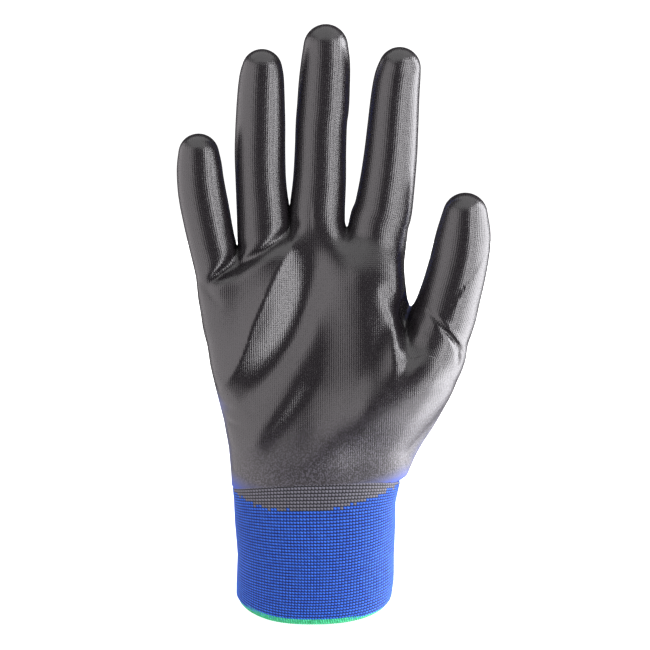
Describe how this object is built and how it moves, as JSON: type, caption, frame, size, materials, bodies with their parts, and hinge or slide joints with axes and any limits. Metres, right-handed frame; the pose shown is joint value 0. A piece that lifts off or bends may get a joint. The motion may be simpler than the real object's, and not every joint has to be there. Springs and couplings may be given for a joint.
{
  "type": "cut resistant work glove",
  "caption": "Right-hand knitted cut resistant glove with a dipped palm, elastic ribbed cuff, overlocked hem and bending fingers.",
  "frame": {"origin": "centre of the cuff's opening, in the flat plane of the hem", "axes": "+Z from the cuff to the fingertips, palm toward -Y, thumb toward +X (right hand)"},
  "size_m": [0.1312, 0.0486, 0.2502],
  "materials": {
    "knit_liner": "fine seamless knit with dark flecks",
    "palm_film": "satin dipped film over knit",
    "knuckle_sleeve": "knit and film that fold together",
    "hem_thread": "dense overlock stitching",
    "elastic_yarn": "covered elastic yarn"
  },
  "bodies": {
    "cuff": {"cuff_knit": "knit_liner", "cuff_hem": "hem_thread", "cuff_elastic_yarn": "elastic_yarn", "wrist_knit": "knit_liner", "wrist_coating": "palm_film"},
    "palm": {"palm_liner": "knit_liner", "palm_coating": "palm_film"},
    "thumb_proximal": {"thumb_proximal_liner": "knit_liner", "thumb_proximal_coating": "palm_film", "thumb_proximal_knuckle": "knuckle_sleeve"},
    "thumb_distal": {"thumb_distal_liner": "knit_liner", "thumb_distal_coating": "palm_film", "thumb_distal_knuckle": "knuckle_sleeve"},
    "index_proximal": {"index_proximal_liner": "knit_liner", "index_proximal_coating": "palm_film", "index_proximal_knuckle": "knuckle_sleeve"},
    "index_middle": {"index_middle_liner": "knit_liner", "index_middle_coating": "palm_film", "index_middle_knuckle": "knuckle_sleeve"},
    "index_distal": {"index_distal_liner": "knit_liner", "index_distal_coating": "palm_film", "index_distal_knuckle": "knuckle_sleeve"},
    "middle_proximal": {"middle_proximal_liner": "knit_liner", "middle_proximal_coating": "palm_film", "middle_proximal_knuckle": "knuckle_sleeve"},
    "middle_middle": {"middle_middle_liner": "knit_liner", "middle_middle_coating": "palm_film", "middle_middle_knuckle": "knuckle_sleeve"},
    "middle_distal": {"middle_distal_liner": "knit_liner", "middle_distal_coating": "palm_film", "middle_distal_knuckle": "knuckle_sleeve"},
    "ring_proximal": {"ring_proximal_liner": "knit_liner", "ring_proximal_coating": "palm_film", "ring_proximal_knuckle": "knuckle_sleeve"},
    "ring_middle": {"ring_middle_liner": "knit_liner", "ring_middle_coating": "palm_film", "ring_middle_knuckle": "knuckle_sleeve"},
    "ring_distal": {"ring_distal_liner": "knit_liner", "ring_distal_coating": "palm_film", "ring_distal_knuckle": "knuckle_sleeve"},
    "little_proximal": {"little_proximal_liner": "knit_liner", "little_proximal_coating": "palm_film", "little_proximal_knuckle": "knuckle_sleeve"},
    "little_middle": {"little_middle_liner": "knit_liner", "little_middle_coating": "palm_film", "little_middle_knuckle": "knuckle_sleeve"},
    "little_distal": {"little_distal_liner": "knit_liner", "little_distal_coating": "palm_film", "little_distal_knuckle": "knuckle_sleeve"}
  },
  "joints": [
    {"name": "wrist_bend", "type": "hinge", "parent": "cuff", "child": "palm", "pos_m": [0, 0, 0.058], "axis": [1, 0, 0], "range_deg": [-45, 45], "stiffness_Nm_per_rad": 0.6, "deforming": ["wrist_knit", "wrist_coating"]},
    {"name": "thumb_proximal_bend", "type": "hinge", "parent": "palm", "child": "thumb_proximal", "pos_m": [0.05369, -0.00957, 0.13146], "axis": [0.847, -0.4868, -0.2137], "range_deg": [-8, 26], "stiffness_Nm_per_rad": 0.05, "deforming": ["thumb_proximal_knuckle"]},
    {"name": "thumb_distal_bend", "type": "hinge", "parent": "thumb_proximal", "child": "thumb_distal", "pos_m": [0.05896, -0.01065, 0.15501], "axis": [0.8538, -0.4907, -0.1742], "range_deg": [-5, 60], "stiffness_Nm_per_rad": 0.03, "deforming": ["thumb_distal_knuckle"]},
    {"name": "index_proximal_bend", "type": "hinge", "parent": "palm", "child": "index_proximal", "pos_m": [0.02835, -0.00589, 0.17267], "axis": [0.9899, 0, -0.1421], "range_deg": [-8, 70], "stiffness_Nm_per_rad": 0.05, "deforming": ["index_proximal_knuckle"]},
    {"name": "index_middle_bend", "type": "hinge", "parent": "index_proximal", "child": "index_middle", "pos_m": [0.03113, -0.0072, 0.19338], "axis": [0.9934, 0, -0.1149], "range_deg": [-5, 80], "stiffness_Nm_per_rad": 0.03, "deforming": ["index_middle_knuckle"]},
    {"name": "index_distal_bend", "type": "hinge", "parent": "index_middle", "child": "index_distal", "pos_m": [0.03332, -0.01087, 0.21561], "axis": [0.996, 0, -0.0894], "range_deg": [-3.12, 50], "deforming": ["index_distal_knuckle"]},
    {"name": "middle_proximal_bend", "type": "hinge", "parent": "palm", "child": "middle_proximal", "pos_m": [0.00109, -0.00552, 0.17369], "axis": [0.9994, 0, -0.0344], "range_deg": [-8, 70], "stiffness_Nm_per_rad": 0.05, "deforming": ["middle_proximal_knuckle"]},
    {"name": "middle_middle_bend", "type": "hinge", "parent": "middle_proximal", "child": "middle_middle", "pos_m": [0.00227, -0.0072, 0.19542], "axis": [0.9985, 0, -0.0546], "range_deg": [-5, 80], "stiffness_Nm_per_rad": 0.03, "deforming": ["middle_middle_knuckle"]},
    {"name": "middle_distal_bend", "type": "hinge", "parent": "middle_middle", "child": "middle_distal", "pos_m": [0.00366, -0.01144, 0.2206], "axis": [0.9991, 0, -0.0433], "range_deg": [-3.12, 50], "deforming": ["middle_distal_knuckle"]},
    {"name": "ring_proximal_bend", "type": "hinge", "parent": "palm", "child": "ring_proximal", "pos_m": [-0.02189, -0.00527, 0.17221], "axis": [0.9993, 0, 0.0378], "range_deg": [-8, 70], "stiffness_Nm_per_rad": 0.05, "deforming": ["ring_proximal_knuckle"]},
    {"name": "ring_middle_bend", "type": "hinge", "parent": "ring_proximal", "child": "ring_middle", "pos_m": [-0.02299, -0.00687, 0.19191], "axis": [0.9999, 0, 0.0144], "range_deg": [-5, 80], "stiffness_Nm_per_rad": 0.03, "deforming": ["ring_middle_knuckle"]},
    {"name": "ring_distal_bend", "type": "hinge", "parent": "ring_middle", "child": "ring_distal", "pos_m": [-0.02242, -0.01081, 0.21414], "axis": [0.9996, 0, -0.0271], "range_deg": [-3.12, 50], "deforming": ["ring_distal_knuckle"]},
    {"name": "little_proximal_bend", "type": "hinge", "parent": "palm", "child": "little_proximal", "pos_m": [-0.04435, -0.00486, 0.16124], "axis": [0.9831, 0, 0.1832], "range_deg": [-8, 70], "stiffness_Nm_per_rad": 0.05, "deforming": ["little_proximal_knuckle"]},
    {"name": "little_middle_bend", "type": "hinge", "parent": "little_proximal", "child": "little_middle", "pos_m": [-0.04712, -0.00627, 0.17642], "axis": [0.9905, 0, 0.1374], "range_deg": [-5, 80], "stiffness_Nm_per_rad": 0.03, "deforming": ["little_middle_knuckle"]},
    {"name": "little_distal_bend", "type": "hinge", "parent": "little_middle", "child": "little_distal", "pos_m": [-0.04855, -0.00866, 0.19066], "axis": [0.9981, 0, 0.0621], "range_deg": [-3.12, 50], "deforming": ["little_distal_knuckle"]}
  ],
  "couplings": [
    {"joint": "index_distal_bend", "follows": "index_middle_bend", "ratio": 0.625},
    {"joint": "middle_distal_bend", "follows": "middle_middle_bend", "ratio": 0.625},
    {"joint": "ring_distal_bend", "follows": "ring_middle_bend", "ratio": 0.625},
    {"joint": "little_distal_bend", "follows": "little_middle_bend", "ratio": 0.625}
  ]
}
